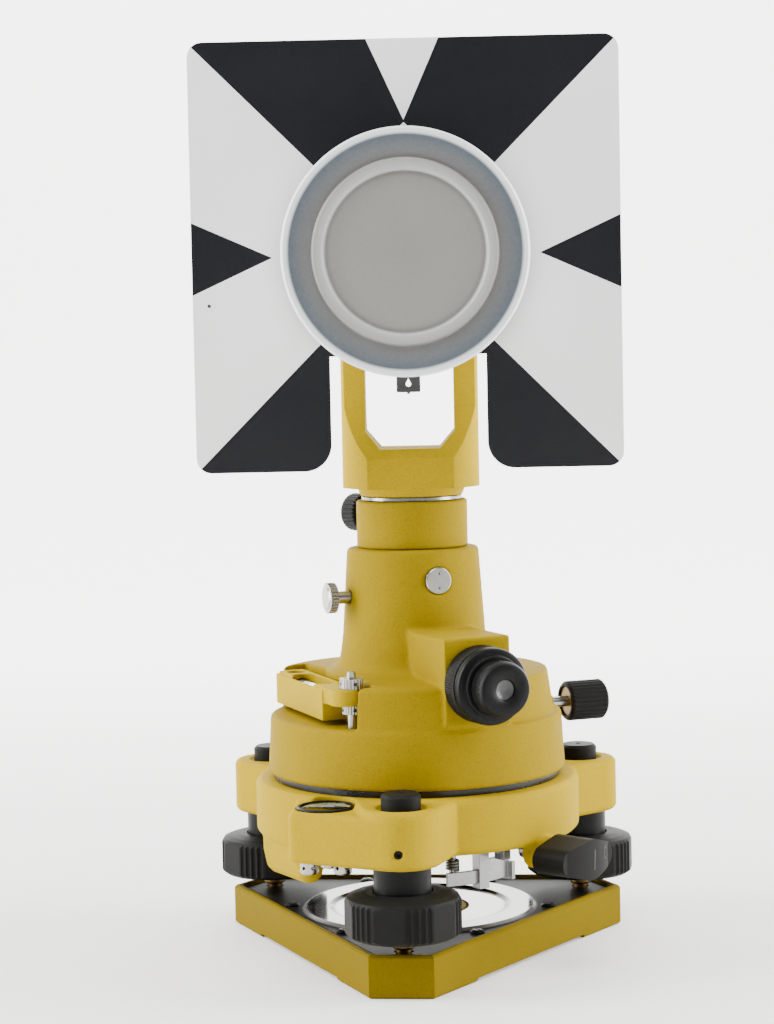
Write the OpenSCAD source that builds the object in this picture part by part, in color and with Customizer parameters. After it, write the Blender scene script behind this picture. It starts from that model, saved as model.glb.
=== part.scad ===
// Traversing survey prism set: levelling base, rotating carrier with an optical plummet,
// tilting reflector with a sighting target and a dust cap.
// Frame: +Z up, origin at the centre of the tripod thread on the underside, front toward -Y.

/* [Base plate] */
// Margin of a long side of the base plate beyond the line between two foot screws
side_margin = 14.2; // [12.5:0.1:20]
// Margin of a trimmed corner of the base plate beyond its foot screw
corner_margin = 10.4; // [9:0.1:16]
// Height of the base plate
base_h = 14; // [13:0.5:18]
// Radius of the tripod thread bore (5/8 inch thread, core size)
thread_r = 6.75; // [6:0.05:8]
// Angle of the levelling base about the vertical axis
base_turn = -4.25; // [-30:0.25:30]

/* [Foot screws] */
// Clear width between the carrier disc and the cap of a foot screw
cap_gap = 6.15; // [5:0.05:8]
// Radius of the spindle of a foot screw
spindle_r = 3.85; // [3:0.05:4.5]
// Radius of a foot screw knob
knob_r = 18.8; // [16:0.1:20]
// Height of a foot screw knob
knob_h = 14.2; // [11:0.1:15]
// Clear height between the base plate and a knob
knob_gap = 4.5; // [4:0.1:9]
// Clear height between a knob and the levelling body
knob_clear = 8.3; // [5:0.1:9]

/* [Levelling body] */
// Height of the levelling body
body_h = 18.5; // [17:0.1:24]
// Width of the levelling body's rim beyond the carrier disc
body_margin = 4.5; // [3.2:0.1:7]
// Radius of the lobe around each foot screw
lobe_r = 13.3; // [12:0.1:15]
// Radius of the circular level
level_r = 9.6; // [7:0.1:10]

/* [Carrier] */
// Angle of the carrier about the vertical axis
carrier_turn = 22; // [-180:1:180]
// Radius of the carrier disc
disc_r = 51; // [49:0.1:53]
// Height of the carrier disc up to its ledge
disc_h = 19.5; // [18:0.1:24]
// Height of the raised platform above the ledge
platform_h = 14; // [13:0.1:18]
// Height of the tower above the platform
tower_h = 42.6; // [38:0.1:60]
// Radius of the tower at its top
tower_r = 22.6; // [21:0.1:24]
// Radius of the focus ring of the plummet
ring_r = 12.7; // [11:0.1:13]

/* [Collar and yoke] */
// Radius of the collar
collar_r = 19; // [17:0.1:21]
// Height of the collar
collar_h = 16; // [15:0.1:20]
// Radius of the spigot inside the collar
spigot_r = 8; // [6:0.1:9]
// Distance between the two arms of the yoke
yoke_gap = 30.2; // [28:0.1:34]
// Thickness of each arm of the yoke
arm_t = 8.2; // [6:0.1:10]
// Height of the tilt axis above the underside of the yoke block
axis_h = 77.7; // [74:0.1:90]
// Radius of the tilt screws
trunnion_r = 4; // [3:0.05:4.5]

/* [Reflector and target] */
// Outer radius of the reflector housing
housing_r = 38; // [35:0.1:40]
// Wall of the housing around the glass corner cube
glass_wall = 9.5; // [8:0.1:12]
// Width and height of the square target plate
target_w = 142; // [120:1:150]
// Width of the slot in the target plate
slot_w = 52; // [51:0.5:60]
// Thickness of the target plate
target_t = 1.5; // [1:0.1:2.5]
// Wall of the dust cap
cap_wall = 2.1; // [1.2:0.1:2.6]

/* [Clearances] */
// Radial clearance of a turning or sliding fit
fit = 0.06; // [0.04:0.01:0.09]
// Seating gap between fixed pieces
seat = 0.05; // [0.03:0.01:0.08]

/* [Hidden] */
$fn = 96;

// Angles of the three foot screws in the levelling base
front_a = -90;
right_a = 30;
left_a = 150;

// Base plate, spread around the ring of foot screws that the carrier disc needs
cap_r = 6.45;
screw_ring = disc_r + cap_gap + cap_r;
base_side = screw_ring / 2 + side_margin;
base_corner = screw_ring + corner_margin;
base_rim = 2.2;
base_floor = base_h - 2;
pad_h = 1.3;
boss_r = 16;
sheet_t = 0.8;
sheet_step = 1;
step_out_r = 40.4;
step_in_r = 30;
sheet_z = base_floor + seat;
spring_screw_ring = (base_side - 7.5) / cos(30);

// Foot screws
ball_r = 4.5;
ball_z = base_floor - ball_r - 0.3;
neck_r = 2.6;
knob_z = base_h + knob_gap;
knob_top = knob_z + knob_h;
body_z = knob_top + knob_clear;
body_top = body_z + body_h;
bushing_r = 9.3;
bushing_core_r = 7;
bushing_z = knob_top - 4;
knob_cup_r = bushing_r + 0.5;
knob_cup_z = knob_z + 3.5;
cap_h = 4.6;
cap_sink = 1.2;

// Levelling body
body_r = disc_r + body_margin;
cavity_r = body_r - 10.5;
flange_r = disc_r - 1.7;
shelf_top = body_top - 1.8;
level_x = -25.3;
level_y = -sqrt(pow(flange_r + level_r + 0.46, 2) - pow(level_x, 2));
level_cup_h = 9;
level_z = shelf_top - level_cup_h;
tongue_a = -156;
tongue_z = body_z - 11.6;
pin_ring = 34;
pin_r = 4;
pin_l = 13;
sight_r = 11;

// Clamp: the ring grips the pins inside the body, its lugs hang below
lever_a = -36;
lever_z = body_z - 2.8;
lever_shaft_r = 2.6;
sleeve_r = 5.5;
cavity_top = body_z + 10.2;
ring_t = 2.4;
ring_z = cavity_top - 0.5 - ring_t;
ring_in = 27;
ring_out = 41;
post_a = -49;
hang_z = body_z - 14;
spring_a = -66;
coil_z = hang_z + 5;

// Flange and carrier
flange_h = 2.2;
axle_r = 14;
flange_top = body_top + flange_h;
disc_z = flange_top + 0.1;
axle_top = disc_z + disc_h + 4;
ledge_z = disc_z + disc_h;
platform_z = ledge_z + platform_h;
tower_top = platform_z + tower_h;
tube_z = platform_z + 1;
tube_r = 7.5;
chamber_r = 10;
box_w = 23.8;
box_front = disc_r - 1.4;
plummet_turn = 3;
box_top = tube_z + 15;
ring_l = 11;
eye_l = 7.6;
eye_r = 9.1;
bar_x = -tower_r - 12.9;
bar_w = 11;
bar_front = -33;
bar_back = 30;
bar_z = ledge_z + 1.7;
bar_h = 11.3;
bar_top = bar_z + bar_h;
stud_x = bar_x + 2;
stud_y = -28;
stud_r = 1.5;
vial_r = 3.2;
brake_z = ledge_z - 1;
brake_out = disc_r + 5.6;
brake_end = disc_r + 11;
thumb_z = platform_z + 26.3;
cover_z = platform_z + 32.4;

// Collar and yoke
collar_z = tower_top + 0.1;
collar_top = collar_z + collar_h;
neck2_r = 7.9;
lock_z = collar_top + seat;
lock_h = 1.5;
boss_z = lock_z + lock_h + 0.1;
block_z = boss_z + 2.9;
axis_z = block_z + axis_h;
arm_in = yoke_gap / 2;
arm_out = arm_in + arm_t;
opening_z = block_z + 13.3;
arm_d = 8;
collar_knob_a = 135;
collar_knob_z = collar_z + 10.8;

// Reflector
glass_apex = -3.2;
glass_r = housing_r - glass_wall;
plate_front = glass_apex - glass_r / sqrt(2) - 0.95;
plate_back = plate_front + target_t;
housing_back = plate_front - seat;
hub_r = housing_r - 7;
target_screw_r = housing_r - 4.1;
cone_end = -10.5;
cone_r = 14.4;
glass_front = glass_apex - glass_r * sqrt(2);
glass_sink = 0.245;
housing_front = glass_front - glass_sink;
bezel_h = 1.5;
cap_in_r = housing_r + fit;
cap_out_r = cap_in_r + cap_wall;
cap_front = housing_front - bezel_h - 3.2;
cap_back = plate_front - 7;
slot_top = axis_z - 33;

// ---------- shared shapes ----------

// Turned solid: rings of [radius, height] pairs closed along the axis
module turned(points) {
  rotate_extrude() polygon(concat([[0, points[0][1]]], points, [[0, points[len(points) - 1][1]]]));
}

// Plain disc with a chamfer on both edges
module puck(r, z0, z1, c) {
  turned([[r - c, z0], [r, z0 + c], [r, z1 - c], [r - c, z1]]);
}

// Triangle with trimmed corners
module trimmed_triangle(side, corner) {
  w = (2 * side - corner) * tan(30);
  polygon([for (a = [-90, 30, 150]) for (k = [-1, 1])
    [corner * cos(a) - k * w * sin(a), corner * sin(a) + k * w * cos(a)]]);
}

// Children at the place of one foot screw
module at_screw(a) {
  rotate([0, 0, base_turn]) translate([screw_ring * cos(a), screw_ring * sin(a), 0]) children();
}

// Children in the frame of the carrier
module on_carrier() {
  rotate([0, 0, carrier_turn]) children();
}

// Children with their own +Z axis laid along a level direction
module along(a, z) {
  rotate([0, 0, a]) translate([0, 0, z]) rotate([0, 90, 0]) children();
}

// Children with their own +Z axis laid along -Y at the tilt axis
module on_reflector() {
  translate([0, 0, axis_z]) rotate([90, 0, 0]) children();
}

// Round grip with straight flutes
module grip(r, h, flutes, depth) {
  linear_extrude(h) difference() {
    circle(r);
    for (i = [0 : flutes - 1]) rotate(i * 360 / flutes) translate([r + depth * 0.6, 0])
      circle(depth * 1.6, $fn = 24);
  }
}

// ---------- base plate and its sheet ----------

module base_plate() {
  color("goldenrod") rotate([0, 0, base_turn]) difference() {
    hull() {
      translate([0, 0, 0.8]) linear_extrude(base_h - 1.6) trimmed_triangle(base_side, base_corner);
      linear_extrude(base_h) trimmed_triangle(base_side - 0.8, base_corner - 0.8);
    }
    // Shallow tray for the sheet, with the thread boss left standing
    translate([0, 0, base_floor]) linear_extrude(base_h) difference() {
      trimmed_triangle(base_side - base_rim, base_corner - base_rim);
      circle(boss_r);
    }
    translate([0, 0, base_h - 1]) cylinder(r = boss_r + 1, h = 5);
    // Relieved underside between the three corner pads
    translate([0, 0, -1]) linear_extrude(pad_h + 1) difference() {
      circle(100);
      circle(boss_r);
      for (a = [front_a, right_a, left_a]) rotate(a) translate([base_corner - 22, -40]) square([50, 80]);
    }
    translate([0, 0, -1]) cylinder(r = thread_r, h = base_h + 2);
    for (a = [front_a, right_a, left_a]) rotate([0, 0, a])
      translate([screw_ring, 0, ball_z - ball_r - seat]) cylinder(r = ball_r + fit, h = base_h);
  }
}

module spring_plate() {
  color("gainsboro") rotate([0, 0, base_turn]) difference() {
    union() {
      translate([0, 0, sheet_z]) linear_extrude(sheet_t) difference() {
        trimmed_triangle(base_side - base_rim - 2.2, base_corner - base_rim - 2.2);
        circle(step_out_r - sheet_t);
      }
      // Stamped rings: one raised band and a lower middle
      translate([0, 0, sheet_z]) rotate_extrude() polygon([
        [step_out_r, 0], [step_out_r, sheet_t], [step_out_r - 1, sheet_t + sheet_step],
        [step_in_r + 1, sheet_t + sheet_step], [step_in_r, sheet_t + 0.1], [boss_r + 1.2, sheet_t + 0.1],
        [boss_r + 1.2, 0.1], [step_in_r + sheet_t, 0.1], [step_in_r + 1 + sheet_t, sheet_step],
        [step_out_r - 1 - sheet_t, sheet_step], [step_out_r - sheet_t, 0]]);
    }
    for (a = [front_a, right_a, left_a]) rotate([0, 0, a]) translate([screw_ring, 0, 0])
      cylinder(r = neck_r + 0.5, h = base_h + 5);
    for (a = [front_a, right_a, left_a], k = [-30, 30]) rotate([0, 0, a + k])
      translate([spring_screw_ring, 0, 0]) cylinder(r = 1.3, h = base_h + 5, $fn = 24);
  }
}

module spring_screws() {
  color("silver") rotate([0, 0, base_turn]) for (a = [front_a, right_a, left_a], k = [-30, 30])
    rotate([0, 0, a + k]) translate([spring_screw_ring, 0, 0]) difference() {
      union() {
        translate([0, 0, sheet_z + sheet_t]) turned([[2.4, 0], [2.4, 0.5], [1.5, 1.1]]);
        translate([0, 0, base_floor + seat]) cylinder(r = 1.25, h = sheet_t + 0.1, $fn = 24);
      }
      translate([-3, -0.3, sheet_z + sheet_t + 0.7]) cube([6, 0.6, 2]);
    }
}

// ---------- foot screws ----------

module foot_knob(phase) {
  dome = 3;
  color("dimgray") difference() {
    intersection() {
      translate([0, 0, knob_z]) turned([[knob_r - 1.6, 0], [knob_r, 1.2], [knob_r, knob_h - dome],
        [knob_r - 0.9, knob_h - dome / 2], [knob_r - 3, knob_h - 0.7], [knob_r - 6.5, knob_h]]);
      // Six flat sides break the round outline
      translate([0, 0, knob_z]) rotate([0, 0, phase])
        cylinder(r = (knob_r - 0.6) / cos(30), h = knob_h, $fn = 6);
    }
    translate([0, 0, knob_cup_z]) cylinder(r = knob_cup_r, h = knob_h);
    translate([0, 0, knob_z - 1]) cylinder(r = spindle_r + seat, h = knob_h);
    // Four finger flutes at each corner between the flats
    for (i = [0 : 5], k = [-10.5, -3.5, 3.5, 10.5]) rotate([0, 0, i * 60 + phase + k])
      translate([knob_r + 0.4, 0, knob_z - 1]) cylinder(r = 1, h = knob_h + 2, $fn = 24);
  }
}

module foot_spindle() {
  color("darkgoldenrod") union() {
    translate([0, 0, ball_z]) sphere(r = ball_r);
    translate([0, 0, ball_z]) cylinder(r = neck_r, h = base_h - ball_z + 0.5);
    translate([0, 0, base_h]) turned([[spindle_r - 0.6, 0], [spindle_r, 0.6],
      [spindle_r, body_top - base_h - 2.5], [spindle_r - 1, body_top - base_h - 1.5]]);
  }
}

module foot_bushing() {
  color("black") difference() {
    union() {
      translate([0, 0, bushing_z]) cylinder(r = bushing_r, h = body_z - bushing_z - seat);
      translate([0, 0, body_z - 1]) cylinder(r = bushing_core_r, h = body_h - 2.6);
    }
    translate([0, 0, bushing_z - 1]) cylinder(r = spindle_r + fit, h = body_h + 20);
  }
}

module screw_cap() {
  plug = 3;
  color("dimgray") difference() {
    translate([0, 0, body_top - plug]) turned([[cap_r - 0.9, 0], [cap_r - 0.9, plug - cap_sink + seat],
      [cap_r, plug - cap_sink + seat], [cap_r, plug + cap_h - 0.9], [cap_r - 0.9, plug + cap_h]]);
    translate([0, 0, body_top - 4]) cylinder(r = spindle_r + 0.6, h = 4 + cap_h - 1.4);
    translate([0, 0, body_top + cap_h - 0.6]) cylinder(r1 = 0.4, r2 = 1, h = 0.7);
  }
}

// ---------- levelling body ----------

// One lobe of the casting, blended into the middle
module lobe(a) {
  hull() {
    rotate([0, 0, a]) translate([screw_ring, 0, 0]) puck(lobe_r, body_z, body_top, 1.2, $fn = 32);
    rotate([0, 0, a]) translate([30, 0, 0]) puck(lobe_r + 9, body_z, body_top, 1.2, $fn = 32);
  }
}

module levelling_body() {
  color("goldenrod") rotate([0, 0, base_turn]) difference() {
    union() {
      puck(body_r, body_z, body_top, 1.4);
      lobe(front_a);
      lobe(right_a);
      lobe(left_a);
      // Shelf that carries the circular level
      hull() {
        translate([level_x - 8, level_y - 6.5, 0]) puck(3.5, body_z, shelf_top, 1.2, $fn = 32);
        translate([level_x - 5, level_y + 22, 0]) puck(6, body_z, shelf_top, 1.2, $fn = 32);
        translate([screw_ring * cos(front_a), screw_ring * sin(front_a), 0])
          puck(lobe_r, body_z, shelf_top, 1.2, $fn = 32);
      }
      // Rounded tongue that hangs beside the level
      hull() for (k = [0, 24]) rotate([0, 0, tongue_a + k]) translate([body_r - 5.6, 0, 0])
        turned([[2.2, tongue_z], [4.2, tongue_z + 2.2], [5.4, tongue_z + 8], [5.6, body_top - 1.4],
          [4.2, body_top]], $fn = 32);
      // Bearing sleeve of the clamp lever
      along(lever_a, lever_z) translate([0, 0, cavity_r + 4.7])
        cylinder(r = sleeve_r, h = body_r - cavity_r - 0.7);
    }
    // Line of sight and the room for the clamp ring below
    translate([0, 0, tongue_z - 1]) cylinder(r = sight_r, h = 60);
    translate([0, 0, tongue_z - 1]) cylinder(r = cavity_r, h = cavity_top - tongue_z + 1);
    // Seats of the three flange pins
    for (i = [0 : 2]) rotate([0, 0, i * 120 + 90]) translate([pin_ring, 0, body_z - 1])
      cylinder(r = pin_r + 0.4, h = body_h + 5);
    // Foot screw bores
    for (a = [front_a, right_a, left_a]) rotate([0, 0, a]) translate([screw_ring, 0, body_z - 5]) {
      cylinder(r = bushing_core_r + seat, h = body_h + 1.5);
      cylinder(r = cap_r - 0.9 + seat, h = body_h + 10);
      // Countersunk seat of the cap
      translate([0, 0, body_h + 5 - cap_sink]) cylinder(r = cap_r + 1.5, h = 10);
    }
    // Cup of the circular level, with holes for its three screws
    translate([level_x, level_y, level_z]) cylinder(r = level_r + seat, h = 30);
    for (i = [0 : 2]) translate([level_x, level_y, body_z - 3]) rotate([0, 0, i * 120 + 90])
      translate([6.3, 0, 0]) cylinder(r = 1.6, h = 20, $fn = 24);
    // Grub screw hole in the front lobe
    along(front_a, body_z + 5.6) translate([0, 0, screw_ring + bushing_core_r]) cylinder(r = 1.5, h = 20);
    along(lever_a, lever_z) cylinder(r = lever_shaft_r + fit, h = 70);
  }
}

module level_cup() {
  color("black") rotate([0, 0, base_turn]) translate([level_x, level_y, level_z])
    difference() {
      turned([[level_r, 0], [level_r, level_cup_h + 0.1], [level_r - 0.6, level_cup_h + 0.5]]);
      translate([0, 0, 2]) cylinder(r = level_r - 1.3, h = level_cup_h);
    }
}

module level_glass() {
  color("lightyellow") rotate([0, 0, base_turn]) translate([level_x, level_y, level_z + 2 + seat])
    turned([[level_r - 1.3 - seat, 0], [level_r - 1.3 - seat, level_cup_h - 2.6],
      [level_r - 3, level_cup_h - 2], [2, level_cup_h - 1.7]]);
}

module level_nuts() {
  nut_r = 3;
  nut_h = 4.4;
  color("silver") rotate([0, 0, base_turn]) translate([level_x, level_y, 0])
    for (i = [0 : 2]) rotate([0, 0, i * 120 + 90]) translate([6.3, 0, body_z - nut_h - seat]) difference() {
      union() {
        puck(nut_r, 0, nut_h, 0.5);
        cylinder(r = 1.5, h = nut_h + level_z - body_z, $fn = 24);
      }
      for (k = [0, 60, 120]) rotate([0, 0, k]) translate([0, 0, nut_h / 2]) rotate([90, 0, 0])
        cylinder(r = 0.6, h = 12, center = true, $fn = 16);
    }
}

module grub_screw() {
  color("dimgray") rotate([0, 0, base_turn]) along(front_a, body_z + 5.6)
    translate([0, 0, screw_ring + bushing_core_r + seat]) difference() {
      cylinder(r = 1.45, h = lobe_r - bushing_core_r - 1.2);
      translate([0, 0, lobe_r - bushing_core_r - 2.2]) cylinder(r = 0.75, h = 3, $fn = 6);
    }
}

// ---------- clamp of the levelling body ----------

module clamp_ring() {
  wall_r = 34.2;
  wall_t = 1.6;
  color("silver") rotate([0, 0, base_turn]) union() {
    translate([0, 0, ring_z]) difference() {
      cylinder(r = ring_out, h = ring_t);
      translate([0, 0, -1]) cylinder(r = ring_in, h = 5);
      // Keyholes: each lets a flange pin in, its narrow end grips the pin's groove
      for (i = [0 : 2]) rotate([0, 0, i * 120 + 90]) translate([0, 0, -1]) {
        translate([pin_ring, 0, 0]) cylinder(r = pin_r + 0.8, h = 5);
        rotate([0, 0, -10.5]) rotate_extrude(angle = 10.5) translate([pin_ring - pin_r + 0.7, 0])
          square([2 * pin_r - 1.4, 5]);
        rotate([0, 0, -10.5]) translate([pin_ring, 0, 0]) cylinder(r = pin_r - 0.7, h = 5);
      }
    }
    // Stop post below the body, with a low wall on each side of it
    rotate([0, 0, post_a]) translate([33, -2, hang_z - 1.8]) cube([4, 4, 20]);
    rotate([0, 0, post_a - 4]) translate([33, -2, body_z + 2]) cube([4, 4, ring_z - body_z - 1]);
    translate([0, 0, hang_z]) rotate([0, 0, post_a - 21]) rotate_extrude(angle = 21)
      translate([wall_r, 0]) square([wall_t, 4.4]);
    translate([0, 0, hang_z]) rotate([0, 0, post_a]) rotate_extrude(angle = 22)
      translate([wall_r, 0]) square([wall_t, 7.5]);
    rotate([0, 0, post_a + 22]) translate([33, -1, hang_z - 1]) cube([4.6, 2, 6]);
    // Arm that the lever's crank pin pushes
    rotate([0, 0, lever_a - 6]) translate([ring_out - 2, -2, lever_z - 3])
      cube([cavity_r + 0.6 - ring_out, 3, ring_z + 4 - lever_z]);
    // Post of the return spring
    rotate([0, 0, spring_a]) translate([pin_ring, 0, coil_z - 1]) cylinder(r = 1.2, h = ring_z + 2 - coil_z);
  }
}

module clamp_spring() {
  wire = 0.45;
  coil_r = 2;
  turns = 4;
  sides = 8;
  steps = 14 * turns;
  points = [for (i = [0 : steps], j = [0 : sides - 1])
    let (a = i * 360 * turns / steps, b = j * 360 / sides, r = coil_r + wire * cos(b))
    [r * cos(a), r * sin(a), i * 2.2 * wire * turns / steps + wire * sin(b)]];
  faces = concat([[for (j = [0 : sides - 1]) j]],
    [for (i = [0 : steps - 1], j = [0 : sides - 1]) let (k = (j + 1) % sides)
      [i * sides + j, (i + 1) * sides + j, (i + 1) * sides + k, i * sides + k]],
    [[for (j = [sides - 1 : -1 : 0]) steps * sides + j]]);
  color("silver") rotate([0, 0, base_turn]) rotate([0, 0, spring_a])
    translate([pin_ring, 0, coil_z]) polyhedron(points, faces);
}

module clamp_shaft() {
  color("silver") rotate([0, 0, base_turn]) along(lever_a, lever_z) union() {
    translate([0, 0, cavity_r + 1]) cylinder(r = lever_shaft_r, h = 24);
    translate([-1, 0, cavity_r - 1]) cylinder(r = 1.2, h = 3, $fn = 24);
  }
}

module clamp_lever() {
  wing = 13.3;
  tip_r = 4.6;
  mid_r = 6.8;
  depth = 14.5;
  inner = body_r + 4.7;
  color("dimgray") rotate([0, 0, base_turn]) along(lever_a, lever_z) difference() {
    translate([0, 0, inner]) intersection() {
      hull() {
        translate([0, wing - tip_r, 0]) cylinder(r = tip_r, h = depth, $fn = 32);
        cylinder(r = mid_r, h = depth, $fn = 32);
        translate([0, tip_r - wing, 0]) cylinder(r = tip_r, h = depth, $fn = 32);
      }
      // The outer face bulges a little in the middle
      union() {
        translate([-8, -20, 0]) cube([16, 40, depth - 2]);
        translate([0, 0, depth - 32]) rotate([0, 90, 0]) cylinder(r = 32, h = 20, center = true);
      }
    }
    translate([0, 0, inner - 2.2]) cylinder(r = lever_shaft_r + seat, h = 12 + seat);
  }
}

// ---------- flange under the carrier ----------

module flange() {
  color("dimgray") rotate([0, 0, base_turn]) difference() {
    union() {
      translate([0, 0, body_top + seat]) cylinder(r = flange_r, h = flange_h - seat);
      translate([0, 0, body_top + 1]) cylinder(r = axle_r, h = axle_top - body_top - 1);
    }
    translate([0, 0, body_top - 1]) cylinder(r = axle_r - 4.5, h = 80);
    for (i = [0 : 2]) rotate([0, 0, i * 120 + 90]) translate([pin_ring, 0, body_top - 1])
      cylinder(r = pin_r - 1 + seat, h = 2.6);
  }
}

module flange_pins() {
  foot = body_top - pin_l;
  groove = ring_z - foot;
  color("silver") rotate([0, 0, base_turn]) for (i = [0 : 2]) rotate([0, 0, i * 120 + 90])
    translate([pin_ring, 0, foot]) turned([[pin_r - 1.2, 0], [pin_r, 0.9], [pin_r, groove - 0.6],
      [pin_r - 1, groove - 0.2], [pin_r - 1, groove + ring_t + 0.2], [pin_r, groove + ring_t + 0.6],
      [pin_r, pin_l], [pin_r - 1, pin_l], [pin_r - 1, pin_l + 1.4]]);
}

// ---------- carrier ----------

// Room for the level bar, open to the side of the platform
module bar_pocket() {
  translate([-80, bar_front - 2, ledge_z]) cube([80 + bar_x + bar_w / 2 + 1.6, bar_back - bar_front + 4, 40]);
}

module carrier() {
  color("goldenrod") on_carrier() difference() {
    union() {
      // Disc with a slight draft
      translate([0, 0, disc_z]) turned([[disc_r - 0.6, 0], [disc_r, 0.6], [disc_r - 1, disc_h - 0.8],
        [disc_r - 1.8, disc_h]]);
      difference() {
        translate([0, 0, ledge_z - 1]) turned([[disc_r - 1.6, 0], [disc_r - 1.8, platform_h],
          [disc_r - 2.6, platform_h + 1], [tower_r + 9, platform_h + 2]]);
        bar_pocket();
        // The right half of the platform stands a little inside the disc
        difference() {
          translate([0, 0, ledge_z]) rotate([0, 0, -72]) rotate_extrude(angle = 132)
            translate([20, 0]) square([60, 40]);
          translate([0, 0, ledge_z - 1]) cylinder(r1 = disc_r - 3.5, r2 = disc_r - 6, h = platform_h + 4);
        }
      }
      // Tower with a flared foot
      translate([0, 0, platform_z]) turned([[tower_r + 8, -2], [tower_r + 8, 1.1], [tower_r + 5.2, 1.9],
        [tower_r + 3.6, 3.6], [tower_r + 2.9, 6], [tower_r + 1.9, 13], [tower_r, tower_h - 0.8],
        [tower_r - 0.8, tower_h]]);
      // Plummet housing
      rotate([0, 0, plummet_turn]) translate([-box_w / 2, -box_front, ledge_z + 1])
        cube([box_w, box_front, box_top - ledge_z - 1]);
      along(0, brake_z) translate([0, 0, 36]) cylinder(r = 4.2, h = disc_r - 36.4);
    }
    // Bearing on the flange, sight chamber and the tube of the plummet
    translate([0, 0, disc_z - 1]) cylinder(r = axle_r + fit, h = axle_top - disc_z + 1.3);
    translate([0, 0, disc_z - 1]) cylinder(r = chamber_r, h = tube_z - disc_z + 12);
    along(plummet_turn - 90, tube_z) cylinder(r = tube_r, h = 60);
    // Socket of the spigot
    translate([0, 0, tower_top - 12]) cylinder(r = spigot_r + seat, h = 20);
    // Screws: brake, thumb screw, cover, level bar
    along(0, brake_z) translate([0, 0, axle_r]) cylinder(r = 1.9 + fit, h = 60);
    along(180, thumb_z) translate([0, 0, 12]) cylinder(r = 2.2 + fit, h = 40);
    along(-90, cover_z) translate([0, 0, tower_r - 0.8]) cylinder(r = 4.55 + seat, h = 20);
    translate([stud_x, stud_y, ledge_z - 6]) cylinder(r = stud_r + seat, h = 20, $fn = 24);
    translate([bar_x, bar_back - 8, ledge_z - 6]) cylinder(r = stud_r + seat, h = 7, $fn = 24);
  }
}

// Right-angle prism that turns the line of sight
module plummet_prism() {
  s = 13.6;
  color("lightblue") on_carrier() rotate([0, 0, plummet_turn]) translate([-s / 2, 0, tube_z])
    rotate([90, 0, 90]) linear_extrude(s) polygon([[-s / 2, -s / 2], [s / 2, -s / 2], [-s / 2, s / 2]]);
}

module plummet_lens() {
  color("lightblue") on_carrier() translate([0, 0, axle_top + 0.6])
    turned([[chamber_r - 2, 0], [chamber_r - seat, 0.5], [chamber_r - seat, 1.7], [chamber_r - 2, 2.2]]);
}

module focus_ring() {
  color("dimgray") on_carrier() along(plummet_turn - 90, tube_z) difference() {
    union() {
      translate([0, 0, box_front - 14]) cylinder(r = tube_r - fit, h = 15);
      translate([0, 0, box_front + 0.2]) difference() {
        puck(ring_r, 0, ring_l, 0.5);
        translate([0, 0, ring_l * 0.62]) rotate_extrude() translate([ring_r - 0.7, 0]) square([2, 1]);
      }
      translate([0, 0, box_front + ring_l]) puck(eye_r + 1.2, 0, 1.6, 0.4);
    }
    translate([0, 0, box_front - 20]) cylinder(r = 5.5, h = 60);
    for (i = [0 : 35]) rotate([0, 0, i * 10]) translate([ring_r + 0.25, 0, box_front + 0.8])
      cylinder(r = 0.6, h = ring_l * 0.62 - 1, $fn = 16);
  }
}

module eyepiece() {
  z0 = box_front + ring_l + 1.6 + seat;
  color("black") on_carrier() along(plummet_turn - 90, tube_z) difference() {
    union() {
      translate([0, 0, z0]) turned([[eye_r, 0], [eye_r, eye_l - 1.6], [eye_r - 1.4, eye_l - 0.4],
        [eye_r - 2.4, eye_l]]);
      translate([0, 0, z0 - 8]) cylinder(r = 5.5 - fit, h = 9);
    }
    translate([0, 0, z0 - 9]) cylinder(r = 3.4, h = 30);
    translate([0, 0, z0 + eye_l - 1.4]) cylinder(r1 = 3.4, r2 = 5, h = 1.5);
  }
}

module eyepiece_lens() {
  color("lightblue") on_carrier() along(plummet_turn - 90, tube_z)
    translate([0, 0, box_front + ring_l + 5.2]) turned([[3.4 - seat, 0], [3.4 - seat, 1.2], [2, 1.7]]);
}

module cover_disc() {
  color("silver") on_carrier() along(-90, cover_z) translate([0, 0, tower_r - 0.8 + seat]) difference() {
    turned([[4.55, 0], [4.55, 1.5], [4.2, 1.8]]);
    for (k = [-2.4, 2.4]) translate([k, 0, 0.8]) cylinder(r = 0.45, h = 3, $fn = 16);
  }
}

module thumb_screw() {
  color("silver") on_carrier() along(180, thumb_z) union() {
    translate([0, 0, 13]) cylinder(r = 2.2, h = 17);
    translate([0, 0, 28.8]) grip(5.2, 2.8, 30, 0.35);
    translate([0, 0, 31.5]) turned([[4.4, 0], [3.4, 0.5]]);
  }
}

module brake_stem() {
  color("silver") on_carrier() along(0, brake_z) translate([0, 0, axle_r + 4])
    cylinder(r = 1.9, h = brake_end - axle_r - 4);
}

module brake_washer() {
  color("gold") on_carrier() along(0, brake_z) translate([0, 0, brake_out + 0.6]) difference() {
    cylinder(r = 5, h = 1);
    translate([0, 0, -1]) cylinder(r = 1.9 + seat, h = 4);
  }
}

module brake_knob() {
  knob_l = 14.4;
  color("dimgray") on_carrier() along(0, brake_z) translate([0, 0, brake_out]) difference() {
    intersection() {
      grip(7, knob_l, 28, 0.35);
      puck(7, 0, knob_l, 0.9);
    }
    translate([0, 0, -1]) cylinder(r = 5.2, h = 2.6 + seat);
    translate([0, 0, -1]) cylinder(r = 1.9 + seat, h = brake_end - brake_out + 1 + seat);
  }
}

// ---------- level bar ----------

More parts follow.
